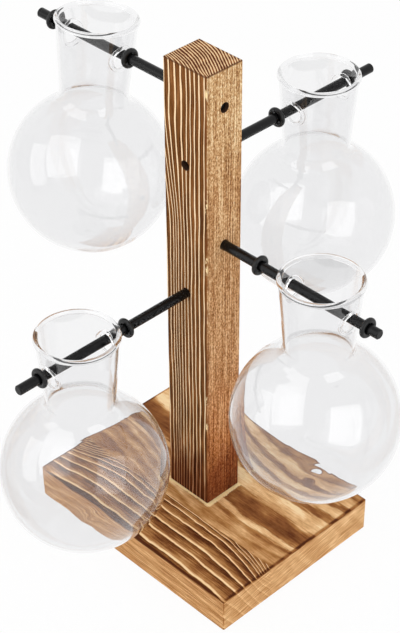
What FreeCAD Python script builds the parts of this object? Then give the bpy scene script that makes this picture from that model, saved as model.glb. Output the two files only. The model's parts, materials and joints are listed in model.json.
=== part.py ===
import FreeCAD, Part
import math
import os

from collections import namedtuple
from FreeCAD import Placement, Rotation, Vector

# Hanging propagation vase: a wooden post on a rectangular board carries four
# black rods, one from each side, and a blown glass flask hangs on every rod
# between two rubber rings. Millimetres, +Z up, origin at the centre of the
# board's underside. The post stands a little behind that centre.

# Board
base_length = 127.0
base_depth = 96.0
base_thickness = 18.5
base_edge_bevel = 0.6

# Post
stand_height = 250.0
post_width = 25.4
post_depth = 20.8
post_setback = 2.0
post_edge_bevel = 0.4

# Screws that hold the post, from beneath the board
screw_length = 40.0
screw_shank_diameter = 3.8
screw_head_diameter = 7.6
screw_head_height = 2.6
screw_point_length = 5.0
screw_spacing = 12.0
screw_sink = 0.4
recess_width = 1.0
recess_span = 4.2
recess_depth = 1.8
pilot_overrun = 1.5

# Rods
rod_diameter = 4.5
rod_chamfer = 0.4
bore_clearance = 0.05

# Rubber rings
ring_section = 2.3
ring_section_sides = 8
ring_clearance = 0.05

# Flask, measured from the centre line of its two side holes
rim_radius = 18.7
rim_bead = 2.4
rim_bead_sides = 5
rim_above_hole = 13.6
neck_foot_radius = 15.0
neck_foot_below_hole = 25.0
neck_blend = 5.0
bulb_radius = 37.7
bulb_below_hole = 60.7
glass_wall = 1.5
foot_radius = 13.0
foot_round = 3.0
foot_glass = 2.6
punt_radius = 9.0
punt_rise = 1.2
hole_diameter = 9.0
lip_width = 1.9
lip_stand = 0.6
lip_inset = 0.4
hang_clearance = 0.05

# Heights of the rods: the first from the post's top, the next two each from the
# one above, the lowest from the board
upper_left_below_top = 18.0
upper_right_below_upper_left = 29.0
lower_right_below_upper_right = 39.0
lower_left_above_board = 118.5

# Arms: place of the flask along the rod from the post's axis, free rod either
# side between neck and rings, rod past the outer ring, how deep the inner end
# lies in the post's far face, and how far the flask hangs from plumb, in
# degrees about the outward rod
upper_left_flask = 65.8
upper_left_inner_gap = 2.5
upper_left_outer_gap = 8.4
upper_left_tail = 8.4
upper_left_recess = 1.6
upper_left_tilt = 5.8

upper_right_flask = 71.4
upper_right_inner_gap = 7.8
upper_right_outer_gap = 1.4
upper_right_tail = 13.2
upper_right_recess = 2.7
upper_right_tilt = 0.0

lower_right_flask = 69.1
lower_right_inner_gap = 16.0
lower_right_outer_gap = 6.7
lower_right_tail = 5.4
lower_right_recess = 0.2
lower_right_tilt = 0.0

lower_left_flask = 73.7
lower_left_inner_gap = 8.3
lower_left_outer_gap = 2.2
lower_left_tail = 10.5
lower_left_recess = 3.1
lower_left_tilt = 0.0

# Extra length of every cutting tool past the face that it leaves
overrun = 2.0

# Derived sizes
post_height = stand_height - base_thickness
upper_left_height = stand_height - upper_left_below_top
upper_right_height = upper_left_height - upper_right_below_upper_left
lower_right_height = upper_right_height - lower_right_below_upper_right
lower_left_height = base_thickness + lower_left_above_board
rod_radius = rod_diameter / 2
bore_radius = rod_radius + bore_clearance
ring_section_radius = ring_section / 2
ring_centre_radius = rod_radius + ring_clearance + ring_section_radius
hole_radius = hole_diameter / 2
hang_drop = hole_radius - rod_radius - hang_clearance
rim_bead_radius = rim_bead / 2
neck_top_radius = rim_radius - (rim_bead - glass_wall) / 2
neck_top = rim_above_hole - rim_bead_radius
neck_slope = (neck_top_radius - neck_foot_radius) / (neck_top + neck_foot_below_hole)
neck_reach = neck_foot_radius + neck_slope * neck_foot_below_hole + lip_stand
foot_level = -bulb_below_hole - math.sqrt(bulb_radius ** 2 - foot_radius ** 2)
bulb_centre = Vector(0, 0, -bulb_below_hole)
bead_centre = Vector(rim_radius - rim_bead_radius, 0, neck_top)

# An arm: its name, its turn about the post from +X in degrees, the post's size along it, and
# its own values from above
Arm = namedtuple("Arm", "name turn post_size height flask inner_gap outer_gap tail recess tilt")
arms = [
    Arm("upper_left", 180, post_width, upper_left_height, upper_left_flask, upper_left_inner_gap,
        upper_left_outer_gap, upper_left_tail, upper_left_recess, upper_left_tilt),
    Arm("upper_right", 90, post_depth, upper_right_height, upper_right_flask, upper_right_inner_gap,
        upper_right_outer_gap, upper_right_tail, upper_right_recess, upper_right_tilt),
    Arm("lower_right", 0, post_width, lower_right_height, lower_right_flask, lower_right_inner_gap,
        lower_right_outer_gap, lower_right_tail, lower_right_recess, lower_right_tilt),
    Arm("lower_left", 270, post_depth, lower_left_height, lower_left_flask, lower_left_inner_gap,
        lower_left_outer_gap, lower_left_tail, lower_left_recess, lower_left_tilt),
]

X_AXIS = Vector(1, 0, 0)
Z_AXIS = Vector(0, 0, 1)


def screw_places():
    """Foot of each screw's axis on the board's underside."""
    return [Vector(side * screw_spacing / 2, post_setback, 0) for side in (-1, 1)]


def on_arm(shape, turn, height):
    """The shape, made along +X about the rod's line, carried out to its arm."""
    placed = shape.copy()
    arm_frame = Placement(Vector(0, post_setback, height), Rotation(Z_AXIS, turn))
    placed.Placement = arm_frame.multiply(placed.Placement)
    return placed


def screw_solid(length_extra=0):
    """One countersunk wood screw, head down, its head's flat face at zero."""
    shank = screw_shank_diameter / 2
    head = screw_head_diameter / 2
    straight = screw_length - screw_point_length
    tip = screw_length + length_extra
    outline = [
        Vector(0, 0, 0), Vector(head, 0, 0), Vector(shank, 0, screw_head_height),
        Vector(shank, 0, straight), Vector(0, 0, tip), Vector(0, 0, 0),
    ]
    return Part.Face(Part.makePolygon(outline)).revolve(Vector(0, 0, 0), Z_AXIS, 360)


def cross_recess():
    """The cross-shaped driver recess cut up into a screw's head."""
    blades = []
    for across, along in ((recess_span, recess_width), (recess_width, recess_span)):
        corner = Vector(-across / 2, -along / 2, -overrun)
        blades.append(Part.makeBox(across, along, recess_depth + overrun, corner))
    return blades[0].fuse(blades[1])


def make_screws():
    """The screws that draw the post down on to the board."""
    screws = []
    for place in screw_places():
        screw = screw_solid().cut(cross_recess())
        screw.translate(place + Vector(0, 0, screw_sink))
        screws.append(screw)
    return Part.makeCompound(screws)


def screw_cutters():
    """Holes for the screws: head, shank and a little free depth past each point."""
    cutters = []
    for place in screw_places():
        cutter = screw_solid(length_extra=pilot_overrun)
        mouth_depth = screw_sink + overrun
        mouth = Part.makeCylinder(screw_head_diameter / 2, mouth_depth, Vector(0, 0, -mouth_depth))
        cutter = cutter.fuse(mouth)
        cutter.translate(place + Vector(0, 0, screw_sink))
        cutters.append(cutter)
    return cutters


def eased_block(width, depth, height, bevel):
    """A sawn block standing on zero, with every edge lightly taken off."""
    block = Part.makeBox(width, depth, height, Vector(-width / 2, -depth / 2, 0))
    return block.makeChamfer(bevel, block.Edges)


def make_base():
    """The board, with countersunk screw holes beneath the post."""
    board = eased_block(base_length, base_depth, base_thickness, base_edge_bevel)
    for cutter in screw_cutters():
        board = board.cut(cutter)
    return board


def make_post():
    """The post, bored right through once for each rod."""
    post = eased_block(post_width, post_depth, post_height, post_edge_bevel)
    post.translate(Vector(0, post_setback, base_thickness))
    bore_length = max(post_width, post_depth) + 2 * overrun
    for arm in arms:
        bore = Part.makeCylinder(bore_radius, bore_length, Vector(-bore_length / 2, 0, 0), X_AXIS)
        post = post.cut(on_arm(bore, arm.turn, arm.height))
    for cutter in screw_cutters():
        post = post.cut(cutter)
    return post


def make_rod(inner, outer):
    """A round rod along +X from its inner end to its outer one, with both ends chamfered."""
    rod = Part.makeCylinder(rod_radius, outer - inner, Vector(inner, 0, 0), X_AXIS)
    ends = [edge for edge in rod.Edges if isinstance(edge.Curve, Part.Circle)]
    return rod.makeChamfer(rod_chamfer, ends)


def make_ring(place):
    """A rubber ring on the rod, centred at place along it, its round section cut to a few sides."""
    middle = Vector(place, 0, ring_centre_radius)
    start = middle + Vector(0, 0, ring_section_radius)
    corners = chord_points(middle, start, 2 * math.pi, ring_section_sides)
    return Part.Face(Part.makePolygon(corners)).revolve(Vector(0, 0, 0), X_AXIS, 360)


def chord_points(centre, start, sweep, sides):
    """Points along an arc in the XZ plane, from start through an angle in radians toward +Z from +X."""
    out = start - centre
    points = []
    for step in range(sides + 1):
        angle = sweep * step / sides
        across = out.x * math.cos(angle) - out.z * math.sin(angle)
        up = out.x * math.sin(angle) + out.z * math.cos(angle)
        points.append(centre + Vector(across, 0, up))
    return points


def neck_wall(inset):
    """A point on the neck's wall, the way it rises, and the way out of it, drawn in by inset."""
    foot = Vector(neck_foot_radius, 0, -neck_foot_below_hole)
    rise = (Vector(neck_top_radius, 0, neck_top) - foot).normalize()
    outward = Vector(rise.z, 0, -rise.x)
    return foot - outward * inset, rise, outward


def shoulder_centre():
    """Centre of the arc that blends the neck into the bulb, shared by both faces of the glass."""
    foot, rise, outward = neck_wall(0)
    start = foot + outward * neck_blend
    off = start - bulb_centre
    along = off.dot(rise)
    beyond = (bulb_radius + neck_blend) ** 2 - off.dot(off)
    return start + rise * (math.sqrt(along ** 2 + beyond) - along)


def arc_between(start, centre, end):
    """The shorter arc about centre from start to end."""
    middle = (start - centre) + (end - centre)
    middle = centre + middle.normalize() * (start - centre).Length
    return Part.Arc(start, middle, end).toShape()


def glass_face(inset, floor):
    """One face of the glass in section: foot round, bulb, shoulder and neck, up to the rim's bead."""
    radius = bulb_radius - inset
    across = math.sqrt((radius - foot_round) ** 2 - (floor + foot_round - bulb_centre.z) ** 2)
    foot_centre = Vector(across, 0, floor + foot_round)
    on_floor = Vector(across, 0, floor)
    low = bulb_centre + (foot_centre - bulb_centre) * (radius / (radius - foot_round))
    blend = shoulder_centre()
    high = bulb_centre + (blend - bulb_centre) * (radius / (bulb_radius + neck_blend))
    widest = bulb_centre + Vector(radius, 0, 0)
    start, rise, outward = neck_wall(inset)
    neck_low = blend - outward * (neck_blend + inset)
    along = (bead_centre - start).dot(rise)
    off = (bead_centre - start).dot(outward)
    neck_high = start + rise * (along - math.sqrt(rim_bead_radius ** 2 - off ** 2))
    edges = [
        arc_between(on_floor, foot_centre, low),
        Part.Arc(low, widest, high).toShape(),
        arc_between(high, blend, neck_low),
        Part.makeLine(neck_low, neck_high),
    ]
    return on_floor, edges, neck_high


def rim_bead_edges(outer_top, inner_top):
    """The rolled bead of the rim, over the top from the neck's outer face to its inner face."""
    offsets = [outer_top - bead_centre, inner_top - bead_centre]
    angles = [math.atan2(offset.z, offset.x) for offset in offsets]
    sweep = (angles[1] - angles[0]) % (2 * math.pi)
    corners = chord_points(bead_centre, outer_top, sweep, rim_bead_sides)
    corners[-1] = inner_top
    return Part.makePolygon(corners).Edges


def blown_glass():
    """The flask before its holes: one closed section turned about its upright axis."""
    outer_foot, outer_edges, outer_top = glass_face(0, foot_level)
    inner_foot, inner_edges, inner_top = glass_face(glass_wall, foot_level + foot_glass)
    dome_radius = (punt_radius ** 2 + punt_rise ** 2) / (2 * punt_rise)
    dome_top = Vector(0, 0, foot_level + punt_rise)
    dome_edge = Vector(punt_radius, 0, foot_level)
    floor_centre = Vector(0, 0, inner_foot.z)
    edges = [arc_between(dome_top, dome_top - Vector(0, 0, dome_radius), dome_edge),
             Part.makeLine(dome_edge, outer_foot)]
    edges += outer_edges
    edges += rim_bead_edges(outer_top, inner_top)
    edges += inner_edges[::-1]
    edges += [Part.makeLine(inner_foot, floor_centre), Part.makeLine(floor_centre, dome_top)]
    section = Part.Face(Part.Wire(Part.__sortEdges__(edges)))
    return section.revolve(Vector(0, 0, 0), Z_AXIS, 360)


def neck_cone(offset, half_height):
    """The neck's flare over a height either side of the holes, its wall moved out by offset."""
    middle = neck_foot_radius + neck_slope * neck_foot_below_hole + offset
    flare = neck_slope * half_height
    return Part.makeCone(middle - flare, middle + flare, 2 * half_height, Vector(0, 0, -half_height))


def hole_collars():
    """Thickened glass round the two side holes, following the neck's own curve."""
    reach = hole_radius + lip_width
    thick = neck_cone(lip_stand, reach + overrun).cut(neck_cone(-glass_wall - lip_inset, reach + overrun))
    return thick.common(across_neck(reach))


def across_neck(radius):
    """A round bar along +X that passes through both sides of the neck."""
    span = 2 * (rim_radius + overrun)
    return Part.makeCylinder(radius, span, Vector(-span / 2, 0, 0), X_AXIS)


def make_flask():
    """A blown flask hung by two holes in its neck, the holes' line along +X through zero."""
    glass = blown_glass().fuse(hole_collars()).removeSplitter()
    return glass.cut(across_neck(hole_radius))


def hang_flask(flask, place, tilt):
    """The flask moved out along the rod, dropped until its holes rest on it, and tilted about it."""
    hung = flask.copy()
    drop = Placement(Vector(place, 0, -hang_drop), Rotation())
    swing = Placement(Vector(0, 0, 0), Rotation(X_AXIS, tilt))
    hung.Placement = swing.multiply(drop)
    return hung


def build():
    """Every node of the vase, by name."""
    nodes = {"base_board": make_base(), "post": make_post(), "post_screws": make_screws()}
    flask = make_flask()
    for arm in arms:
        inner_ring = arm.flask - neck_reach - arm.inner_gap - ring_section_radius
        outer_ring = arm.flask + neck_reach + arm.outer_gap + ring_section_radius
        inner_end = arm.recess - arm.post_size / 2
        outer_end = outer_ring + ring_section_radius + arm.tail
        pieces = {
            "rod_" + arm.name: make_rod(inner_end, outer_end),
            "ring_" + arm.name + "_inner": make_ring(inner_ring),
            "ring_" + arm.name + "_outer": make_ring(outer_ring),
            "flask_" + arm.name: hang_flask(flask, arm.flask, arm.tilt),
        }
        for name, piece in pieces.items():
            nodes[name] = on_arm(piece, arm.turn, arm.height)
    return nodes


os.makedirs("parts", exist_ok=True)
for node, shape in build().items():
    shape.exportStep("parts/" + node + ".step")
    print(node, "valid", shape.isValid(), "solids", len(shape.Solids), "volume", round(shape.Volume, 1))
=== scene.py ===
import json
import math
from collections import namedtuple

import bmesh
import bpy
from mathutils import Matrix, Vector

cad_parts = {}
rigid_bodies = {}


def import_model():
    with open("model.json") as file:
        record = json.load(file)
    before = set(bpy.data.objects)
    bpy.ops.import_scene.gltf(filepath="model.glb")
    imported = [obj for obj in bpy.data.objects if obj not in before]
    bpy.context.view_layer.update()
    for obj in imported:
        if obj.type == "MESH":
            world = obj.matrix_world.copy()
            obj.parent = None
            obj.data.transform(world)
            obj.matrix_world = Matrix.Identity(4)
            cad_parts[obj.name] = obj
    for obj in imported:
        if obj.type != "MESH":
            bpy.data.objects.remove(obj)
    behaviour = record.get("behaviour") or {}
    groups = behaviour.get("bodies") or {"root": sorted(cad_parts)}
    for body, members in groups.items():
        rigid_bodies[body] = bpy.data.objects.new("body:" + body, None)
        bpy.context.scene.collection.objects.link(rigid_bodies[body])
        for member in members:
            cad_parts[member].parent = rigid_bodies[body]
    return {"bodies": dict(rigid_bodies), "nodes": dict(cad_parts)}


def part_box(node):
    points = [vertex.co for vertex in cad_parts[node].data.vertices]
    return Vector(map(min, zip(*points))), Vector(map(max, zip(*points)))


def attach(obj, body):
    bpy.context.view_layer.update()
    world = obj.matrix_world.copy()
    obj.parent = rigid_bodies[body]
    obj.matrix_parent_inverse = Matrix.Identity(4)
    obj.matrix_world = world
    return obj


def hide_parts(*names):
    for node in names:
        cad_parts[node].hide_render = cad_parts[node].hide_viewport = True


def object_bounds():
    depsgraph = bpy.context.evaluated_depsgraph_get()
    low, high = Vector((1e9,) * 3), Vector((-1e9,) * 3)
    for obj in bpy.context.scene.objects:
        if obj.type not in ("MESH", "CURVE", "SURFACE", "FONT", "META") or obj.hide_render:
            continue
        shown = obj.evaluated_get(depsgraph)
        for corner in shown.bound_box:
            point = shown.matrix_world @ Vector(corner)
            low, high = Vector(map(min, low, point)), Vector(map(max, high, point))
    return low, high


# Looks of the hanging propagation vase: scorched pine, satin black rods, rubber
# rings and blown glass. Metres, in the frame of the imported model. Patterns in the
# wood are worked out in millimetres.

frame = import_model()
cad_low, cad_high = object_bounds()

MM = 0.001
ARMS = ("upper_left", "upper_right", "lower_right", "lower_left")
ROD_RADIUS = 2.25 * MM
ROD_CLEARANCE = 0.05 * MM

# Flask, measured from the line of its side holes
RIM_RADIUS = 18.7 * MM
RIM_BEAD_RADIUS = 1.2 * MM
RIM_ABOVE_HOLE = 13.6 * MM
NECK_FOOT_RADIUS = 15.0 * MM
NECK_FOOT_BELOW_HOLE = 25.0 * MM
NECK_BLEND = 8.0 * MM
BULB_RADIUS = 37.7 * MM
BULB_BELOW_HOLE = 60.7 * MM
GLASS_WALL = 1.0 * MM
FOOT_RADIUS = 13.0 * MM
FOOT_ROUND = 22.0 * MM
FOOT_GLASS = 1.2 * MM
PUNT_RADIUS = 6.0 * MM
PUNT_RISE = 0.25 * MM
HOLE_RADIUS = 4.5 * MM
LIP_RADIUS = 1.0 * MM
LIP_SET_BACK = 0.8 * LIP_RADIUS
FLASK_TILT = {"upper_left": math.radians(5.8)}

# Worked out from those sizes
HANG_DROP = HOLE_RADIUS - ROD_RADIUS - ROD_CLEARANCE
BULB_CENTRE = Vector((0, 0, -BULB_BELOW_HOLE))
BEAD_CENTRE = Vector((RIM_RADIUS - RIM_BEAD_RADIUS, 0, RIM_ABOVE_HOLE - RIM_BEAD_RADIUS))
FOOT_LEVEL = -BULB_BELOW_HOLE - math.sqrt(BULB_RADIUS ** 2 - FOOT_RADIUS ** 2)
BORE_LENGTH = 4 * RIM_RADIUS    # well past both walls

# How many straight pieces stand for each curve or line
FLASK_TURN_STEPS = 144
LIP_TURN_STEPS = 64
RING_TURN_STEPS = 56
TUBE_STEPS = 20
BORE_STEPS = 64
BULB_STEPS = 22
BLEND_STEPS = 10
NECK_STEPS = 12
BEAD_STEPS = 16
FOOT_ROUND_STEPS = 8
FOOT_STEPS = 3
PUNT_STEPS = 5
MERGE_DISTANCE = 0.01 * MM
SMOOTH_ANGLE = math.radians(40)


# Shader nodes

# A pattern of noise: waves per millimetre along each axis, detail and roughness
Grain = namedtuple("Grain", "x y z detail roughness", defaults=(3.0, 0.5))
NOISE_MIDDLE = 0.5

# The sockets of a Mix node that are used when it mixes colours
MIX_SHARE, MIX_FIRST, MIX_SECOND = 0, 6, 7
MIXED_COLOUR = 2


def paint(red, green, blue):
    """A colour read off a screen, turned to linear light by the sRGB curve."""
    levels = []
    for value in (red, green, blue):
        share = value / 255
        levels.append(share / 12.92 if share < 0.04045 else ((share + 0.055) / 1.055) ** 2.4)
    return (*levels, 1.0)


def as_colour(value):
    """A colour as it is, or a tone as a grey."""
    return value if isinstance(value, tuple) else (value, value, value, 1)


class Wiring:
    """A node tree whose nodes are linked as they are added."""

    def __init__(self, tree):
        self.tree = tree
        self.tree.nodes.clear()

    def add(self, kind, sockets=None, **settings):
        """A node with its settings and its sockets filled, by values or by links."""
        node = self.tree.nodes.new(kind)
        for setting, value in settings.items():
            setattr(node, setting, value)
        for socket, value in (sockets or {}).items():
            self.feed(node.inputs[socket], value)
        return node

    def feed(self, socket, value):
        """Fills a socket with a value, or links another node's output to it."""
        if isinstance(value, bpy.types.NodeSocket):
            self.tree.links.new(value, socket)
        else:
            socket.default_value = value

    def calculate(self, operation, *values):
        """A calculation on one, two or three numbers."""
        node = self.add("ShaderNodeMath", operation=operation)
        for socket, value in zip(node.inputs, values):
            self.feed(socket, value)
        return node.outputs[0]

    def chain(self, operation, values):
        """A calculation carried on from each value to the next."""
        result = values[0]
        for value in values[1:]:
            result = self.calculate(operation, result, value)
        return result

    def plus(self, *values):
        return self.chain("ADD", values)

    def minus(self, *values):
        return self.chain("SUBTRACT", values)

    def times(self, *values):
        return self.chain("MULTIPLY", values)

    def largest(self, *values):
        return self.chain("MAXIMUM", values)

    def away(self, value, middle=0.0):
        """How far a value lies from a middle, either way."""
        return self.calculate("ABSOLUTE", self.minus(value, middle) if middle else value)

    def rise(self, value, low, high):
        """0 below low and 1 above high, smooth between them. A fall has low above high."""
        if low > high:
            return self.minus(1.0, self.rise(value, high, low))
        return self.add(
            "ShaderNodeMapRange", {"Value": value, "From Min": low, "From Max": high},
            interpolation_type="SMOOTHSTEP",
        ).outputs[0]

    def near(self, value, edge, inset):
        """0 to 1 as a value nears an edge from below: inset says how far off it starts and ends."""
        start, end = inset
        return self.rise(value, edge - start, edge - end)

    def band(self, value, low, high, blur):
        """1 between low and high, with soft edges."""
        return self.times(self.rise(value, low - blur, low + blur),
                          self.rise(value, high + blur, high - blur))

    def grain(self, place, pattern):
        """A pattern's smooth noise about 0, mostly between -0.5 and 0.5."""
        node = self.add("ShaderNodeTexNoise", {
            "Vector": self.stretch(place, pattern.x, pattern.y, pattern.z), "Scale": 1.0,
            "Detail": pattern.detail, "Roughness": pattern.roughness,
        })
        return self.minus(node.outputs["Fac"], NOISE_MIDDLE)

    def stretch(self, vector, x, y, z):
        """The same place with each axis scaled."""
        return self.add("ShaderNodeMapping", {"Vector": vector, "Scale": (x, y, z)}).outputs[0]

    def point(self, x, y, z):
        """A place made of three numbers."""
        return self.add("ShaderNodeCombineXYZ", {"X": x, "Y": y, "Z": z}).outputs[0]

    def ramp(self, value, stops):
        """A colour or a tone for each value, from (value, colour) stops."""
        low, high = stops[0][0], stops[-1][0]
        share = self.calculate("DIVIDE", self.minus(value, low), high - low)
        node = self.add("ShaderNodeValToRGB", {"Fac": share})
        elements = node.color_ramp.elements
        for place, colour in stops[1:-1]:
            elements.new((place - low) / (high - low)).color = as_colour(colour)
        elements[0].color = as_colour(stops[0][1])
        elements[len(elements) - 1].color = as_colour(stops[-1][1])
        return node.outputs["Color"]

    def mix(self, share, first, second, blend="MIX"):
        """Two colours mixed by a share."""
        node = self.add(
            "ShaderNodeMix", {MIX_SHARE: share, MIX_FIRST: first, MIX_SECOND: second},
            data_type="RGBA", blend_type=blend,
        )
        return node.outputs[MIXED_COLOUR]

    def blend(self, share, first, second):
        """Two surfaces mixed by a share, each given by its shader node."""
        node = self.add("ShaderNodeMixShader", {
            0: share, 1: first.outputs[0], 2: second.outputs[0],
        })
        return node.outputs[0]


class Finish(Wiring):
    """One material."""

    def __init__(self, name):
        self.material = bpy.data.materials.new(name)
        self.material.use_nodes = True
        super().__init__(self.material.node_tree)

    def millimetres(self):
        """The place on the piece in millimetres: the vector and its three numbers."""
        place = self.add("ShaderNodeTexCoord").outputs["Object"]
        place = self.stretch(place, 1 / MM, 1 / MM, 1 / MM)
        return place, *self.add("ShaderNodeSeparateXYZ", {"Vector": place}).outputs

    def shade(self, bump, **sockets):
        """The surface: a Principled shader with a bump, given as (height in mm, share)."""
        height, strength = bump
        relief = self.add("ShaderNodeBump", {
            "Height": height, "Strength": strength, "Distance": MM,
        })
        named = {name.replace("_", " "): value for name, value in sockets.items()}
        shader = self.add("ShaderNodeBsdfPrincipled", {**named, "Normal": relief.outputs[0]})
        self.output(shader.outputs[0])
        return self.material

    def output(self, surface):
        """Makes this the surface that the piece shows."""
        self.add("ShaderNodeOutputMaterial", {"Surface": surface})


# Wood

def box_in_mm(node):
    """The low and the high corner of a CAD node's box, in millimetres."""
    low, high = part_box(node)
    return low / MM, high / MM


BOARD_HIGH = box_in_mm("base_board")[1]
POST_LOW, POST_HIGH = box_in_mm("post")
POST_MIDDLE = (POST_LOW + POST_HIGH) / 2

WOOD_ROUGHNESS = 0.6
WOOD_GLOSS = 0.06
WOOD_BUMP = 0.6
TONE_HEIGHT = 0.22
FIBRE_HEIGHT = 0.3


def wood_surface(wood, place, tone, colour, fibres):
    """Matt wood, a little higher where it is pale and along its fibres."""
    relief = wood.plus(wood.times(tone, TONE_HEIGHT),
                       wood.times(wood.grain(place, fibres), FIBRE_HEIGHT))
    return wood.shade(bump=(relief, WOOD_BUMP), Base_Color=colour, Roughness=WOOD_ROUGHNESS,
                      Specular_IOR_Level=WOOD_GLOSS)


def ring_turn(wood, across, lines):
    """How far a place lies from one pale line to the next, from 0 to 1.

    Past the last line they go on evenly.
    """
    count = len(lines) - 1
    pitch = lines[-1] - lines[-2]
    stops = [(line, number / count) for number, line in enumerate(lines)]
    counted = wood.times(wood.ramp(across, stops), count)
    beyond = wood.calculate("DIVIDE", wood.minus(across, lines[-1]), pitch)
    past_last = wood.calculate("GREATER_THAN", across, lines[-1])
    return wood.calculate("FRACT", wood.mix(past_last, counted, beyond))


# Board: tones are 0 where it is scorched dark and 1 where it is pale

BOARD_BROWN = [
    (0.0, paint(78, 38, 16)),
    (0.16, paint(104, 56, 26)),
    (0.38, paint(148, 93, 50)),
    (0.56, paint(184, 130, 76)),
    (0.74, paint(214, 164, 111)),
    (0.88, paint(242, 198, 144)),
    (1.0, paint(255, 224, 176)),
]
BOARD_STREAKS = Grain(0.08, 1.8, 1.8, 5.0, 0.72)
BOARD_BLOTCHES = Grain(0.05, 0.12, 0.1, 4.0, 0.65)
BOARD_FIBRES = Grain(0.35, 6.0, 6.0, 3.0, 0.7)
BOARD_JOINT = -17.0             # the line along which the two staves are glued
JOINT_BLUR = 0.12

# Front stave: where its pale lines lie, and the tone from one line to the next
FRONT_LINES = [
    -70.0, -66.0, -62.0, -57.5, -52.5, -44.5, -37.0, -31.0, -24.5, -20.1, -17.5, -15.9, -14.3,
    -12.6,
]
FRONT_TONES = [
    (0, 1.0), (0.07, 0.96), (0.14, 0.56), (0.45, 0.4), (0.78, 0.2), (0.91, 0.05), (0.96, 0.9),
    (1, 1.0),
]
FRONT_WAVES = Grain(0.035, 0.02, 0.02, 2.0)
FRONT_WAVE_SHIFT = 4.0
FRONT_RIPPLES = Grain(0.12, 0.2, 0.2)
FRONT_RIPPLE_SHIFT = 1.6
FRONT_LEAN = 0.75               # how far the lines move for each millimetre of depth
FAN_MIDDLE = 3.0                # the lines run straight as far as FAN_START either side of this
FAN_START = 31.0
FAN_POWER = 1.6
FAN_LEAST = 0.012
FAN_GROWTH = 0.021
FAN_GROWS = (-42.0, -20.0)
FRONT_COVER = 1.1               # streaks and blotches show by this less the tone
FRONT_STREAK_SHARE = 1.9
FRONT_BLOTCH_SHARE = 1.5

# Back stave: golden wood with scorched arcs, given by their places and tones
BACK_TONES = [
    (-34, 0.6), (-28, 0.4), (-26, 0.7), (-21, 0.46), (-19.5, 0.7), (-16.4, 0.6), (-14.6, 0.48),
    (-13.4, 0.7), (-11, 0.74), (-9.6, 0.48), (-8.0, 0.5), (-7.2, 0.8), (-4.6, 0.84), (-3.6, 0.4),
    (0, 0.32), (5.5, 0.38), (7.6, 0.56), (8.8, 0.88), (17, 0.92), (18.2, 0.48), (21.5, 0.42),
    (22.8, 0.84), (27, 0.84), (28.2, 0.4), (31.0, 0.38), (32.2, 0.84), (37, 0.8), (38.4, 0.4),
    (43, 0.66),
]
BACK_WAVES = Grain(0.03, 0.03, 0.03, 2.0)
BACK_WAVE_SHIFT = 7.0
BACK_RAGGED = Grain(0.08, 0.8, 0.8, 5.0, 0.75)
BACK_LEAN = 0.6
BACK_SHIFT = 2.5
BOW_MIDDLE = 36.0               # the arcs bow away from here, ever less the further they run
BOW = 0.007
BOW_EASE = 35.0
RAGGED_LEAST = 2.0
RAGGED_GROWTH = 5.5
RAGGED_GROWS = (-10.0, -1.0)
BACK_STREAK_SHARE = 0.6
BACK_BLOTCH_SHARE = 1.1

# Sawn sides
SAWN_INSET = (0.4, 0.05)
SAWN_TONE = 0.65
SAWN_CONTRAST = 0.16
TONE_MIDDLE = 0.5
LONG_GRAIN = Grain(0.06, 2.4, 2.4, 4.0, 0.7)
LONG_GRAIN_SHARE = 1.7
END_GRAIN_SLANT = 0.13
END_GRAIN = Grain(0.0, 0.07, 1.5, 3.0, 0.7)
END_GRAIN_SHARE = 1.2
END_GRAIN_LIFT = 0.08

# Scorch on the rims of the top
BOARD_RIM_X = (1.8, 0.6)
BOARD_RIM_Y = (1.5, 0.6)
BOARD_RIM_Z = (1.2, 0.5)
RIM_SCORCH = 0.4
RIM_BLOTCH_SHARE = 1.6

# The strip about the post's foot that the flame missed, by how far it passes the post
STRIP_PAST_LOW = Vector((0.8, 1.0))
STRIP_PAST_HIGH = Vector((2.0, 0.5))
STRIP_BLUR = 0.3
STRIP_INSET_Z = (0.4, 0.1)
STRIP_STREAK_SHIFT = 2.2
STRIP_BLOTCH_SHIFT = 4.0
STRIP_STREAKS = (-0.2, 0.2)
# Bare wood on the strip, painted paler than bare wood is: partly painted light that lifts the shade
# the post casts there
STRIP_DARK_WITH_PAINTED_LIGHT = paint(255, 214, 152)
STRIP_PALE_WITH_PAINTED_LIGHT = paint(255, 234, 180)

SPECKS = Grain(0.6, 1.3, 1.3, 2.0)
SPECKS_FROM = (0.22, 0.27)
SPECK_SHARE = 0.6
SPECK_BROWN = paint(66, 34, 18)


def front_stave_tone(wood, place, x, y, depth):
    """Broad dark bands between pale lines, which fan out near both ends."""
    far = wood.largest(wood.minus(wood.away(x, FAN_MIDDLE), FAN_START), 0.0)
    opening = wood.plus(wood.times(wood.rise(y, *FAN_GROWS), FAN_GROWTH), FAN_LEAST)
    fan = wood.times(wood.calculate("POWER", far, FAN_POWER), opening)
    waves = wood.times(wood.grain(place, FRONT_WAVES), FRONT_WAVE_SHIFT)
    ripples = wood.times(wood.grain(place, FRONT_RIPPLES), FRONT_RIPPLE_SHIFT)
    across = wood.minus(wood.plus(y, fan, waves, ripples), wood.times(depth, FRONT_LEAN))
    return wood.ramp(ring_turn(wood, across, FRONT_LINES), FRONT_TONES)


def back_stave_tone(wood, place, x, y, depth):
    """Golden wood with broad arcs that are scorched in ragged patches."""
    off = wood.away(x, BOW_MIDDLE)
    ease = wood.plus(wood.calculate("DIVIDE", off, BOW_EASE), 1.0)
    bow = wood.calculate("DIVIDE", wood.times(off, off, BOW), ease)
    waves = wood.times(wood.grain(place, BACK_WAVES), BACK_WAVE_SHIFT)
    spread = wood.plus(wood.times(wood.rise(y, *RAGGED_GROWS), RAGGED_GROWTH), RAGGED_LEAST)
    ragged = wood.times(wood.grain(place, BACK_RAGGED), spread)
    across = wood.plus(wood.minus(y, bow, BACK_SHIFT), waves, ragged)
    return wood.ramp(wood.minus(across, wood.times(depth, BACK_LEAN)), BACK_TONES)


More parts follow.
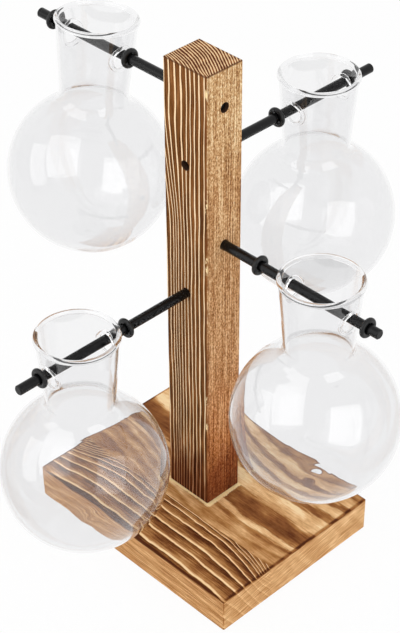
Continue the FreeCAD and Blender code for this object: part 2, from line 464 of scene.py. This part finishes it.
def top_tone(wood, place, x, y, z, streaks, blotches):
    """Both staves, streaked and blotched."""
    depth = wood.minus(BOARD_HIGH.z, z)
    front = front_stave_tone(wood, place, x, y, depth)
    back = back_stave_tone(wood, place, x, y, depth)
    # pale lines keep their tone, and the scorched wood between them varies
    marks = wood.plus(wood.times(streaks, FRONT_STREAK_SHARE),
                      wood.times(blotches, FRONT_BLOTCH_SHARE))
    front = wood.plus(front, wood.times(marks, wood.minus(FRONT_COVER, front)))
    back = wood.plus(back, wood.times(streaks, BACK_STREAK_SHARE),
                     wood.times(blotches, BACK_BLOTCH_SHARE))
    behind = wood.rise(y, BOARD_JOINT - JOINT_BLUR, BOARD_JOINT + JOINT_BLUR)
    return wood.mix(behind, front, back)


def sawn_tone(wood, place, x, y, z, tone):
    """The tone with the sawn sides and ends laid over it: paler, with fine faint lines."""
    calm = wood.plus(wood.times(wood.minus(tone, TONE_MIDDLE), SAWN_CONTRAST), SAWN_TONE)
    long_grain = wood.times(wood.grain(place, LONG_GRAIN), LONG_GRAIN_SHARE)
    slanted = wood.minus(z, wood.times(y, END_GRAIN_SLANT))
    end_grain = wood.times(wood.grain(wood.point(0.0, y, slanted), END_GRAIN), END_GRAIN_SHARE)
    sides = wood.near(wood.away(y), BOARD_HIGH.y, SAWN_INSET)
    ends = wood.near(wood.away(x), BOARD_HIGH.x, SAWN_INSET)
    tone = wood.mix(sides, tone, wood.plus(calm, long_grain))
    return wood.mix(ends, tone, wood.plus(calm, END_GRAIN_LIFT, end_grain))


def rim_scorch(wood, x, y, z, blotches):
    """How much darker the rims of the board's top are."""
    rim = wood.largest(wood.near(wood.away(x), BOARD_HIGH.x, BOARD_RIM_X),
                       wood.near(wood.away(y), BOARD_HIGH.y, BOARD_RIM_Y))
    uneven = wood.plus(RIM_SCORCH, wood.times(blotches, RIM_BLOTCH_SHARE))
    return wood.times(rim, wood.near(z, BOARD_HIGH.z, BOARD_RIM_Z), uneven)


def missed_strip(wood, x, y, z, streaks, blotches):
    """1 on the strip about the post's foot that the flame missed."""
    uneven = wood.plus(wood.times(streaks, STRIP_STREAK_SHIFT),
                       wood.times(blotches, STRIP_BLOTCH_SHIFT))
    low, high = POST_LOW.xy - STRIP_PAST_LOW, POST_HIGH.xy + STRIP_PAST_HIGH
    strip_x = wood.band(wood.plus(x, uneven), low.x, high.x, STRIP_BLUR)
    strip_y = wood.band(wood.plus(y, uneven), low.y, high.y, STRIP_BLUR)
    return wood.times(strip_x, strip_y, wood.near(z, BOARD_HIGH.z, STRIP_INSET_Z))


def board_finish():
    """Scorched pine boards, edge glued, with the rings' lines along X."""
    wood = Finish("scorched_pine_board")
    place, x, y, z = wood.millimetres()
    streaks = wood.grain(place, BOARD_STREAKS)
    blotches = wood.grain(place, BOARD_BLOTCHES)
    tone = top_tone(wood, place, x, y, z, streaks, blotches)
    tone = sawn_tone(wood, place, x, y, z, tone)
    tone = wood.minus(tone, rim_scorch(wood, x, y, z, blotches))
    colour = wood.ramp(tone, BOARD_BROWN)
    # the bare strip's colour, partly painted light against the post's shade
    bare_with_painted_light = wood.mix(wood.rise(streaks, *STRIP_STREAKS), STRIP_DARK_WITH_PAINTED_LIGHT, STRIP_PALE_WITH_PAINTED_LIGHT)
    colour = wood.mix(missed_strip(wood, x, y, z, streaks, blotches), colour, bare_with_painted_light)
    specks = wood.rise(wood.grain(place, SPECKS), *SPECKS_FROM)
    colour = wood.mix(wood.times(specks, SPECK_SHARE), colour, SPECK_BROWN)
    return wood_surface(wood, place, tone, colour, BOARD_FIBRES)


# Post: its front and back show upright lines, and its left and right are cut along the rings

POST_BROWN = [
    (0.0, paint(80, 44, 12)),
    (0.2, paint(106, 64, 24)),
    (0.45, paint(136, 86, 42)),
    (0.66, paint(190, 138, 86)),
    (0.9, paint(255, 220, 174)),
    (1.0, paint(255, 230, 190)),
]
POST_LINES = [
    -20.8, -18.2, -15.6, -13.2, -11.2, -9.3, -7.2, -4.4, -1.6, 0.9, 3.1, 5.6, 8.1, 11.1, 13.8,
]
POST_TONES = [
    (0, 1.0), (0.1, 0.98), (0.17, 0.04), (0.5, 0.3), (0.82, 0.14), (0.92, 0.98), (1, 1.0),
]
POST_WAVES = Grain(0.05, 0.05, 0.018, 2.0)
POST_WAVE_SHIFT = 3.0
POST_RIPPLES = Grain(0.3, 0.3, 0.05)
POST_STREAKS = Grain(1.4, 1.4, 0.035, 5.0, 0.7)
POST_STREAK_SHARE = 1.5
POST_BLOTCHES = Grain(0.16, 0.16, 0.04, 3.0, 0.6)
POST_COVER = 1.15               # streaks and blotches show by this less the tone
POST_FIBRES = Grain(6.0, 6.0, 0.35, 3.0, 0.7)
RING_SLANT = 1.9                # how far the lines move for each millimetre behind the front
RING_BEND = 0.015               # how far they bow, all of it by BEND_DEPTH behind the front
BEND_DEPTH = 3.0
STEP_HEIGHTS = (208, 168)       # lines on the left half step aside between these heights
STEP_SIDES = (1.0, -9.0)
STEP_SHIFT = -3.4
SPREAD_HEIGHTS = (190, 225)     # and stand wider apart above these
SPREAD = -0.24

# The scorch's share of each colour, by height
SCORCH_SHIFT = 60.0             # how far blotches move its height
FRONT_SCORCH = [
    (18, (0.27, 0.13, 0.09, 1)),
    (34, (0.42, 0.26, 0.2, 1)),
    (56, (0.86, 0.8, 0.76, 1)),
    (85, (1, 0.97, 0.97, 1)),
    (250, (0.98, 0.94, 0.92, 1)),
]
SIDE_SCORCH = [
    (18, (0.25, 0.1, 0.06, 1)),
    (32, (0.4, 0.18, 0.11, 1)),
    (55, (0.78, 0.5, 0.36, 1)),
    (95, (0.93, 0.77, 0.69, 1)),
    (185, (0.94, 0.85, 0.8, 1)),
    (235, (1, 1, 1, 1)),
]

# Left and right sides
GOLDEN_BROWN = [
    (0.0, paint(116, 72, 36)),
    (0.3, paint(178, 130, 80)),
    (0.5, paint(206, 160, 110)),
    (0.72, paint(226, 186, 136)),
    (0.9, paint(252, 226, 180)),
    (1.0, paint(255, 236, 196)),
]
SIDE_INSET = (0.3, 0.02)
SIDE_FLECKS = Grain(1.7, 1.7, 0.9, 3.0, 0.8)
SIDE_FLECK_SHARE = 3.0
SIDE_GRAIN = Grain(1.3, 1.3, 0.03, 4.0, 0.65)
SIDE_GRAIN_SHARE = 2.0
SIDE_TONE = 0.5
SIDE_LINES_LEAST = 0.08         # the rings' lines show more towards the back
SIDE_LINES_GROWTH = 0.3
SIDE_LINES_GROW = (0.0, 4.0)
RINGS_MIDDLE = 0.45

# End grain at the top
END_BROWN = [(0, paint(86, 38, 10)), (0.5, paint(172, 104, 56)), (1.0, paint(255, 222, 172))]
END_TONES = [(0, 1.0), (0.2, 0.95), (0.32, 0.1), (0.78, 0.0), (0.9, 0.95), (1, 1.0)]
END_INSET = (0.35, 0.05)
END_STREAK_SHARE = 0.5
END_BLOTCH_SHARE = 1.6

# Reddish scorch and pale chips on the near corner, at the front and on the right
CORNER_INSET_X = (2.9, 0.1)
CORNER_INSET_Y = (2.6, 0.1)
CORNER_RAGGED = Grain(0.5, 0.5, 0.07, 3.0, 0.6)
CORNER_RAGGED_FROM = (-0.1, 0.12)
CORNER_SHARE = 0.65
CORNER_BROWN = paint(118, 64, 32)
ARRIS_INSET_X = (1.1, 0.5)
ARRIS_INSET_Y = (0.9, 0.3)
CHIPPED = [(64.0, 68.0), (80.0, 84.0), (153.0, 162.0), (183.0, 192.0), (240.0, 244.0)]
CHIPPED_BLUR = 1.0
CHIPS = Grain(0.7, 0.7, 0.3, 3.0, 0.7)
CHIPS_FROM = (-0.03, 0.03)
CHIP_PALE = paint(252, 222, 170)

# Dark rims of the top, and painted shade inside the rods' bores
POST_RIM_INSET = (0.65, 0.35)
POST_RIM_INSET_Z = (0.8, 0.4)
POST_RIM_SHARE = 0.75
POST_RIM_BROWN = paint(86, 48, 26)
BORE_RADIUS = (ROD_RADIUS + ROD_CLEARANCE) / MM
BORE_SHADE_PAST = (0.2, 0.02)    # how far past a bore its painted shade starts and is full
# painted shade: the bores' walls are coloured dark, as holes look in shade
BORE_PAINTED_SHADE = paint(74, 52, 40)


def post_across(wood, place, x, z, inside):
    """How far a place lies across the post's rings, in step with POST_LINES."""
    slant = wood.times(inside, RING_SLANT)
    bend = wood.times(x, x, RING_BEND, wood.rise(inside, 0.0, BEND_DEPTH))
    step = wood.times(wood.rise(z, *STEP_HEIGHTS), wood.rise(x, *STEP_SIDES), STEP_SHIFT)
    left = wood.calculate("MINIMUM", x, 0.0)
    spread = wood.times(wood.rise(z, *SPREAD_HEIGHTS), left, SPREAD)
    waves = wood.times(wood.grain(place, POST_WAVES), POST_WAVE_SHIFT)
    ripples = wood.grain(place, POST_RIPPLES)
    return wood.plus(x, slant, bend, step, spread, waves, ripples)


def side_colour(wood, place, y, rings, level):
    """Golden flecks, with a trace of the rings' lines."""
    flecks = wood.times(wood.grain(place, SIDE_FLECKS), SIDE_FLECK_SHARE)
    grain = wood.times(wood.grain(place, SIDE_GRAIN), SIDE_GRAIN_SHARE)
    lined = wood.plus(wood.times(wood.rise(y, *SIDE_LINES_GROW), SIDE_LINES_GROWTH),
                      SIDE_LINES_LEAST)
    lines = wood.times(wood.minus(rings, RINGS_MIDDLE), lined)
    golden = wood.ramp(wood.plus(flecks, grain, lines, SIDE_TONE), GOLDEN_BROWN)
    return wood.mix(1.0, golden, wood.ramp(level, SIDE_SCORCH), "MULTIPLY")


def end_colour(wood, turn, streaks, blotches):
    """End grain, with the rings' lines running back from the front."""
    tone = wood.plus(wood.ramp(turn, END_TONES), wood.times(streaks, END_STREAK_SHARE),
                     wood.times(blotches, END_BLOTCH_SHARE))
    return wood.ramp(tone, END_BROWN)


def mark_near_corner(wood, place, x, z, inside, colour):
    """Reddish scorch along the near corner, with pale chips on its arris."""
    ragged = wood.rise(wood.grain(place, CORNER_RAGGED), *CORNER_RAGGED_FROM)
    corner = wood.times(wood.near(x, POST_HIGH.x, CORNER_INSET_X),
                        wood.rise(inside, *CORNER_INSET_Y), ragged, CORNER_SHARE)
    colour = wood.mix(corner, colour, CORNER_BROWN)
    arris = wood.times(wood.near(x, POST_HIGH.x, ARRIS_INSET_X),
                       wood.rise(inside, *ARRIS_INSET_Y))
    chips = wood.rise(wood.grain(place, CHIPS), *CHIPS_FROM)
    clusters = wood.largest(*(wood.band(z, low, high, CHIPPED_BLUR) for low, high in CHIPPED))
    return wood.mix(wood.times(arris, chips, clusters), colour, CHIP_PALE)


def char_rims_and_bore_shade(wood, x, y, z, colour):
    """Dark rims about the post's top, and painted shade inside the rods' bores and just past their
    rims.
    """
    half_depth = POST_HIGH.y - POST_MIDDLE.y
    rims = wood.largest(wood.near(wood.away(x), POST_HIGH.x, POST_RIM_INSET),
                        wood.near(wood.away(y, POST_MIDDLE.y), half_depth, POST_RIM_INSET))
    rims = wood.times(rims, wood.near(z, POST_HIGH.z, POST_RIM_INSET_Z), POST_RIM_SHARE)
    colour = wood.mix(rims, colour, POST_RIM_BROWN)
    for arm in ARMS:
        start, turn = arm_frame(arm)
        along_x = abs(math.cos(turn)) > abs(math.sin(turn))
        aside = wood.away(y, start.y / MM) if along_x else wood.away(x, start.x / MM)
        above = wood.away(z, start.z / MM)
        squares = wood.plus(wood.times(aside, aside), wood.times(above, above))
        off = wood.calculate("SQRT", squares)
        # painted shade inside each bore, fading out just past its rim
        bore = wood.rise(off, *(BORE_RADIUS + past for past in BORE_SHADE_PAST))
        colour = wood.mix(bore, colour, BORE_PAINTED_SHADE)
    return colour


def post_finish():
    """Scorched pine post, with the rings' lines upright on the front and flecks on the sides."""
    wood = Finish("scorched_pine_post")
    place, x, y, z = wood.millimetres()
    inside = wood.minus(y, POST_LOW.y)
    turn = ring_turn(wood, post_across(wood, place, x, z, inside), POST_LINES)
    rings = wood.ramp(turn, POST_TONES)
    streaks = wood.grain(place, POST_STREAKS)
    blotches = wood.grain(place, POST_BLOTCHES)
    marks = wood.plus(wood.times(streaks, POST_STREAK_SHARE), blotches)
    tone = wood.plus(rings, wood.times(marks, wood.minus(POST_COVER, rings)))
    level = wood.plus(z, wood.times(blotches, SCORCH_SHIFT))
    colour = wood.mix(1.0, wood.ramp(tone, POST_BROWN), wood.ramp(level, FRONT_SCORCH),
                      "MULTIPLY")
    colour = wood.mix(wood.near(wood.away(x), POST_HIGH.x, SIDE_INSET), colour,
                      side_colour(wood, place, y, rings, level))
    colour = wood.mix(wood.near(z, POST_HIGH.z, END_INSET), colour,
                      end_colour(wood, turn, streaks, blotches))
    colour = mark_near_corner(wood, place, x, z, inside, colour)
    colour = char_rims_and_bore_shade(wood, x, y, z, colour)
    return wood_surface(wood, place, tone, colour, POST_FIBRES)


# Rods, rings, screws and glass

UNEVEN_SPAN = (-0.3, 0.3)

GLASS_TINT = (0.92, 0.92, 0.925, 1)
GLASS_IOR = 1.5
GLASS_SHADOW = (0.93, 0.93, 0.93, 1)
GLASS_RIPPLE = Grain(0.05, 0.05, 0.05, 2.0, 0.4)
RIPPLE_SHARE = 0.12
RIPPLE_HEIGHT = 2 * MM
MOST_BENDS = 3.5                # rays that pass more surfaces than this go on straight


def uneven_finish(name, pattern, dark, light, roughness, bump, **sockets):
    """A finish that is a little uneven in colour and height, and in roughness.

    roughness holds the least even value and how much the unevenness adds to it.
    """
    finish = Finish(name)
    uneven = finish.grain(finish.millimetres()[0], pattern)
    colour = finish.mix(finish.rise(uneven, *UNEVEN_SPAN), dark, light)
    even, varied = roughness
    rough = finish.plus(even, finish.times(uneven, varied))
    return finish.shade(bump=(uneven, bump), Base_Color=colour, Roughness=rough, **sockets)


def rod_finish():
    """Satin black paint."""
    return uneven_finish("black_satin_paint", Grain(0.9, 0.9, 0.9, 4.0, 0.6),
                         dark=paint(5, 5, 6), light=paint(15, 15, 16),
                         roughness=(0.24, 0.2), bump=0.05, Specular_IOR_Level=0.22)


def rubber_finish():
    """Dull black rubber."""
    return uneven_finish("black_ring_rubber", Grain(1.6, 1.6, 1.6, 4.0, 0.6),
                         dark=paint(6, 6, 6), light=paint(18, 18, 19),
                         roughness=(0.36, 0.25), bump=0.12, Specular_IOR_Level=0.35)


def screw_finish():
    """Zinc plated steel with turning marks."""
    return uneven_finish("zinc_plated_steel", Grain(0.6, 0.6, 6.0),
                         dark=paint(168, 168, 166), light=paint(208, 207, 203),
                         roughness=(0.34, 0.2), bump=0.08, Metallic=1.0)


def glass_finish():
    """Clear blown glass, a little uneven, that lets the lamps' light through."""
    glass = Finish("blown_glass")
    ripple = glass.grain(glass.millimetres()[0], GLASS_RIPPLE)
    relief = glass.add("ShaderNodeBump", {
        "Height": ripple, "Strength": RIPPLE_SHARE, "Distance": RIPPLE_HEIGHT,
    })
    clear = glass.add("ShaderNodeBsdfPrincipled", {
        "Base Color": GLASS_TINT, "Roughness": 0.0, "IOR": GLASS_IOR, "Transmission Weight": 1.0,
        "Normal": relief.outputs[0],
    })
    passing = glass.add("ShaderNodeBsdfTransparent", {"Color": GLASS_SHADOW})
    path = glass.add("ShaderNodeLightPath")
    trapped = glass.calculate("GREATER_THAN", path.outputs["Ray Depth"], MOST_BENDS)
    straight = glass.largest(path.outputs["Is Shadow Ray"], trapped)
    glass.output(glass.blend(straight, clear, passing))
    return glass.material


# Glass shapes

def neck_wall(inset):
    """A point on the neck's wall, the way it rises and the way out of it, drawn in by inset."""
    foot = Vector((NECK_FOOT_RADIUS, 0, -NECK_FOOT_BELOW_HOLE))
    top_radius = RIM_RADIUS - RIM_BEAD_RADIUS + GLASS_WALL / 2
    top = Vector((top_radius, 0, RIM_ABOVE_HOLE - RIM_BEAD_RADIUS))
    rise = (top - foot).normalized()
    outward = Vector((rise.z, 0, -rise.x))
    return foot - outward * inset, rise, outward


def blend_centre():
    """Centre of the arc between neck and bulb, shared by both faces of the glass."""
    foot, rise, outward = neck_wall(0)
    level = foot + outward * NECK_BLEND
    off = level - BULB_CENTRE
    along = off.dot(rise)
    beyond = (BULB_RADIUS + NECK_BLEND) ** 2 - off.length_squared
    return level + rise * (math.sqrt(along ** 2 + beyond) - along)


def sweep_arc(section, start, centre, end, steps):
    """Spins a vertex about the arc's centre, and gives the vertex that it ends on."""
    a, b = start.co - centre, end - centre
    angle = math.atan2(a.cross(b).y, a.dot(b))
    made = bmesh.ops.spin(section, geom=[start], cent=centre, axis=(0, 1, 0), angle=angle,
                          steps=steps)
    return next(part for part in made["geom_last"] if isinstance(part, bmesh.types.BMVert))


def join_line(section, start, end, steps):
    """Draws a straight run of edges from a vertex to a point."""
    for steps_left in range(steps, 0, -1):
        made = bmesh.ops.extrude_vert_indiv(section, verts=[start])
        start = made["verts"][0]
        start.co += (end - start.co) / steps_left
    return start


def glass_face(section, start, inset, floor):
    """One face of the glass in section, from the foot's round up to the rim."""
    radius = BULB_RADIUS - inset
    foot_round = FOOT_ROUND - inset
    above_floor = floor + foot_round
    across = math.sqrt((radius - foot_round) ** 2 - (above_floor - BULB_CENTRE.z) ** 2)
    foot_centre = Vector((across, 0, above_floor))
    foot_end = BULB_CENTRE + (foot_centre - BULB_CENTRE).normalized() * radius
    vertex = join_line(section, start, Vector((across, 0, floor)), FOOT_STEPS)
    vertex = sweep_arc(section, vertex, foot_centre, foot_end, FOOT_ROUND_STEPS)
    blend = blend_centre()
    widest = BULB_CENTRE + Vector((radius, 0, 0))
    high = BULB_CENTRE + (blend - BULB_CENTRE).normalized() * radius
    vertex = sweep_arc(section, vertex, BULB_CENTRE, widest, BULB_STEPS)
    vertex = sweep_arc(section, vertex, BULB_CENTRE, high, BULB_STEPS)
    wall, rise, outward = neck_wall(inset)
    neck_low = blend - outward * (NECK_BLEND + inset)
    vertex = sweep_arc(section, vertex, blend, neck_low, BLEND_STEPS)
    along, off = (BEAD_CENTRE - wall).dot(rise), (BEAD_CENTRE - wall).dot(outward)
    top = wall + rise * (along - math.sqrt(RIM_BEAD_RADIUS ** 2 - off ** 2))
    return join_line(section, vertex, top, NECK_STEPS)


def glass_section():
    """The flask's wall in section: outer face, inner face and the rolled bead between them."""
    section = bmesh.new()
    # the punt: a shallow dome that rounds over into the foot
    slope = 2 * math.atan(PUNT_RISE / PUNT_RADIUS)
    curve = PUNT_RADIUS / (2 * math.sin(slope))
    dome_centre = Vector((0, 0, FOOT_LEVEL + PUNT_RISE - curve))
    halfway = Vector((PUNT_RADIUS / 2, 0, FOOT_LEVEL + PUNT_RISE / 2))
    edge_centre = Vector((PUNT_RADIUS, 0, FOOT_LEVEL + curve))
    vertex = section.verts.new((0, 0, FOOT_LEVEL + PUNT_RISE))
    vertex = sweep_arc(section, vertex, dome_centre, halfway, PUNT_STEPS)
    vertex = sweep_arc(section, vertex, edge_centre, Vector((PUNT_RADIUS, 0, FOOT_LEVEL)),
                       PUNT_STEPS)
    outer = glass_face(section, vertex, 0, FOOT_LEVEL)
    floor = section.verts.new((0, 0, FOOT_LEVEL + FOOT_GLASS))
    inner = glass_face(section, floor, GLASS_WALL, FOOT_LEVEL + FOOT_GLASS)
    # the bead goes the long way round, over the rim
    start, end = outer.co - BEAD_CENTRE, inner.co - BEAD_CENTRE
    angle = math.atan2(start.cross(end).y, start.dot(end))
    angle -= 2 * math.pi if angle > 0 else 0
    bmesh.ops.spin(section, geom=[outer], cent=BEAD_CENTRE, axis=(0, 1, 0), angle=angle,
                   steps=BEAD_STEPS)
    bmesh.ops.remove_doubles(section, verts=section.verts, dist=MERGE_DISTANCE)
    return section


def spun(section, axis, steps):
    """A section turned right round an axis through zero."""
    bmesh.ops.spin(section, geom=section.verts[:] + section.edges[:], cent=(0, 0, 0), axis=axis,
                   angle=2 * math.pi, steps=steps, use_merge=True)
    bmesh.ops.remove_doubles(section, verts=section.verts, dist=MERGE_DISTANCE)
    bmesh.ops.recalc_face_normals(section, faces=section.faces)
    return section


def round_ring(x, radius, tube_radius, steps):
    """A ring of round section about the X axis, with its middle at x."""
    ring = bmesh.new()
    place = Matrix.Translation((x, 0, radius)) @ Matrix.Rotation(math.pi / 2, 4, "X")
    bmesh.ops.create_circle(ring, segments=TUBE_STEPS, radius=tube_radius, matrix=place)
    return spun(ring, (1, 0, 0), steps)


def add_object(name, data):
    """A new object in the scene, for a mesh, a lamp or a camera."""
    piece = bpy.data.objects.new(name, data)
    bpy.context.scene.collection.objects.link(piece)
    return piece


def as_object(name, shape):
    """A new object that holds the shape's mesh."""
    mesh = bpy.data.meshes.new(name)
    shape.to_mesh(mesh)
    shape.free()
    return add_object(name, mesh)


def lip_shape(side):
    """The fire-polished bead round one hole, bent to the neck's curve."""
    foot, rise, _ = neck_wall(GLASS_WALL / 2)
    slope = rise.x / rise.z
    middle = foot.x - foot.z * slope
    ring = round_ring(middle, HOLE_RADIUS + LIP_SET_BACK, LIP_RADIUS, LIP_TURN_STEPS)
    for vertex in ring.verts:
        wall = middle + slope * vertex.co.z
        vertex.co.x += math.sqrt(wall ** 2 - vertex.co.y ** 2) - middle
        vertex.co.x *= side
    bmesh.ops.recalc_face_normals(ring, faces=ring.faces)
    return ring


def bore_shape():
    """A round bar along X that cuts both holes."""
    bore = bmesh.new()
    bmesh.ops.create_cone(bore, cap_ends=True, segments=BORE_STEPS, radius1=HOLE_RADIUS,
                          radius2=HOLE_RADIUS, depth=BORE_LENGTH,
                          matrix=Matrix.Rotation(math.pi / 2, 4, "Y"))
    return bore


def make_flask_mesh():
    """The finished flask about its hole line: blown body, hole beads and the holes."""
    body = as_object("flask_body", spun(glass_section(), (0, 0, 1), FLASK_TURN_STEPS))
    tools = [(as_object("flask_lip", lip_shape(side)), "UNION") for side in (-1, 1)]
    tools.append((as_object("flask_bore", bore_shape()), "DIFFERENCE"))
    for tool, operation in tools:
        cut = body.modifiers.new(operation.lower(), "BOOLEAN")
        cut.operation, cut.object, cut.solver = operation, tool, "EXACT"
    depsgraph = bpy.context.evaluated_depsgraph_get()
    mesh = bpy.data.meshes.new_from_object(body.evaluated_get(depsgraph))
    for piece in [body] + [tool for tool, _ in tools]:
        bpy.data.objects.remove(piece)
    mesh.shade_smooth()
    mesh.set_sharp_from_angle(angle=SMOOTH_ANGLE)
    return mesh


def arm_frame(arm):
    """Where the arm's rod line passes the post's middle, and the turn from +X to the arm."""
    low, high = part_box("rod_" + arm)
    post_low, post_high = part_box("post")
    middle = (post_low + post_high) / 2
    outward = (low + high) / 2 - middle
    outward.z = 0
    start = Vector((middle.x, middle.y, (low.z + high.z) / 2))
    return start, math.atan2(outward.y, outward.x)


def hang_flasks(glass):
    """Puts a flask where each CAD flask hangs."""
    shape = make_flask_mesh()
    for arm in ARMS:
        start, turn = arm_frame(arm)
        low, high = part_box("flask_" + arm)
        out = Vector((math.cos(turn), math.sin(turn), 0))
        reach = ((low + high) / 2 - start).dot(out)
        swing = Matrix.Rotation(FLASK_TILT.get(arm, 0), 4, "X")
        place = (Matrix.Translation(start) @ Matrix.Rotation(turn, 4, "Z") @ swing
                 @ Matrix.Translation((reach, 0, -HANG_DROP)))
        mesh = shape.copy()
        mesh.transform(place)
        mesh.materials.append(glass)
        piece = add_object("glass_flask_" + arm, mesh)
        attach(piece, "flask_" + arm if "flask_" + arm in frame["bodies"] else arm + "_flask")
        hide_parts("flask_" + arm)


def thread_rings(rubber):
    """A round rubber ring in place of each faceted CAD ring."""
    for arm in ARMS:
        turn = arm_frame(arm)[1]
        along = Matrix.Rotation(turn, 4, "Z")
        for side in ("inner", "outer"):
            node = "ring_" + arm + "_" + side
            low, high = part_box(node)
            size = high - low
            tube_radius = min(size) / 2
            ring = round_ring(0, size.z / 2 - tube_radius, tube_radius, RING_TURN_STEPS)
            place = Matrix.Translation((low + high) / 2) @ along
            bmesh.ops.transform(ring, matrix=place, verts=ring.verts)
            piece = as_object("rubber_" + node, ring)
            piece.data.shade_smooth()
            piece.data.materials.append(rubber)
            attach(piece, arm + "_" + side + "_ring")
            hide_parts(node)


def dress(node, material):
    """Gives a CAD node its finish."""
    for slot in frame["nodes"][node].material_slots:
        slot.link = "OBJECT"
        slot.material = material


# Camera, floor and lamps

CAMERA_AZIMUTH = math.radians(45.686)
CAMERA_ELEVATION = math.radians(37.463)
CAMERA_ROLL = math.radians(-0.19)
CAMERA_DISTANCE = 807.7 * MM
CAMERA_TARGET = Vector((0, 2.0, 117.8)) * MM
CAMERA_LENS = 161.955
CAMERA_SENSOR = 36
CAMERA_SHIFT = (-0.0091, 0.0016)
CAMERA_CLIP = (0.01, 20)

SOFT_BOXES = [
    # azimuth and elevation in degrees, width, height, distance, radiance
    (-8, 42, 0.75, 0.9, 0.95, 1.05),
    (-36, 14, 0.5, 0.9, 1.15, 0.9),
    (86, 20, 0.9, 1.05, 1.2, 1.15),
]
WHITE = (1, 1, 1, 1)
FILL = 0.81
FLOOR_REACH = 3.0
FLOOR_GREY = (0.9, 0.9, 0.9, 1)
FLOOR_SHINE = 0.94              # the share of plain white in the floor, which thins its shadows


def direction(azimuth, elevation):
    """The way from the object to a place seen at azimuth and elevation."""
    level = math.cos(elevation)
    return Vector((math.sin(azimuth) * level, -math.cos(azimuth) * level, math.sin(elevation)))


def camera_turn():
    """The camera's turn: its right, its top and its back."""
    forward = -direction(CAMERA_AZIMUTH, CAMERA_ELEVATION)
    turn = forward.to_track_quat("-Z", "Y").to_matrix()
    return turn @ Matrix.Rotation(CAMERA_ROLL, 3, "Z")


def squared_turn(back):
    """A lamp's turn with its light along minus back and its top edge level in the picture."""
    right = camera_turn().col[1].cross(back).normalized()
    return Matrix((right, back.cross(right), back)).transposed()


def set_camera():
    """The camera that took the photograph, as fitted to it."""
    data = bpy.data.cameras.new("camera")
    data.sensor_fit = "HORIZONTAL"
    data.sensor_width = CAMERA_SENSOR
    data.lens = CAMERA_LENS
    data.shift_x, data.shift_y = CAMERA_SHIFT
    data.clip_start, data.clip_end = CAMERA_CLIP
    camera = add_object("camera", data)
    back = direction(CAMERA_AZIMUTH, CAMERA_ELEVATION)
    camera.location = CAMERA_TARGET + back * CAMERA_DISTANCE
    camera.rotation_euler = camera_turn().to_euler()
    bpy.context.scene.camera = camera


def set_lamps():
    """Soft boxes about the object."""
    for number, (azimuth, elevation, width, height, distance, radiance) in enumerate(SOFT_BOXES):
        data = bpy.data.lights.new("soft_box_%d" % number, "AREA")
        data.shape = "RECTANGLE"
        data.size, data.size_y = width, height
        data.energy = radiance * math.pi * width * height
        lamp = add_object(data.name, data)
        back = direction(math.radians(azimuth), math.radians(elevation))
        lamp.location = CAMERA_TARGET + back * distance
        lamp.rotation_euler = squared_turn(back).to_euler()


def seen_directly(wiring):
    """1 for rays from the camera, and those that gloss and glass send on."""
    rays = wiring.add("ShaderNodeLightPath").outputs
    return wiring.largest(rays["Is Camera Ray"], rays["Is Glossy Ray"],
                          rays["Is Transmission Ray"])


def set_backdrop():
    """White all round for the eye and for reflections, with a softer fill as light."""
    world = bpy.data.worlds.new("studio")
    bpy.context.scene.world = world
    world.use_nodes = True
    sky = Wiring(world.node_tree)
    strength = sky.add("ShaderNodeMapRange", {
        "Value": seen_directly(sky), "To Min": FILL, "To Max": 1.0,
    })
    background = sky.add("ShaderNodeBackground", {"Color": WHITE, "Strength": strength.outputs[0]})
    sky.add("ShaderNodeOutputWorld", {"Surface": background.outputs[0]})


def set_view():
    """Colours as they are written."""
    bpy.context.scene.view_settings.view_transform = "Standard"


def lay_floor():
    """A white floor that keeps a faint shadow."""
    finish = Finish("white_floor")
    matt = finish.add("ShaderNodeBsdfDiffuse", {"Color": FLOOR_GREY})
    white = finish.add("ShaderNodeEmission", {"Color": WHITE, "Strength": 1.0})
    share = finish.times(seen_directly(finish), FLOOR_SHINE)
    finish.output(finish.blend(share, matt, white))
    sheet = bmesh.new()
    bmesh.ops.create_grid(sheet, x_segments=1, y_segments=1, size=FLOOR_REACH,
                          matrix=Matrix.Translation((0, 0, cad_low.z)))
    floor = as_object("floor", sheet)
    floor.data.materials.append(finish.material)


dress("base_board", board_finish())
dress("post", post_finish())
dress("post_screws", screw_finish())
black = rod_finish()
for arm in ARMS:
    dress("rod_" + arm, black)
thread_rings(rubber_finish())
hang_flasks(glass_finish())
set_camera()
set_lamps()
set_backdrop()
set_view()
lay_floor()
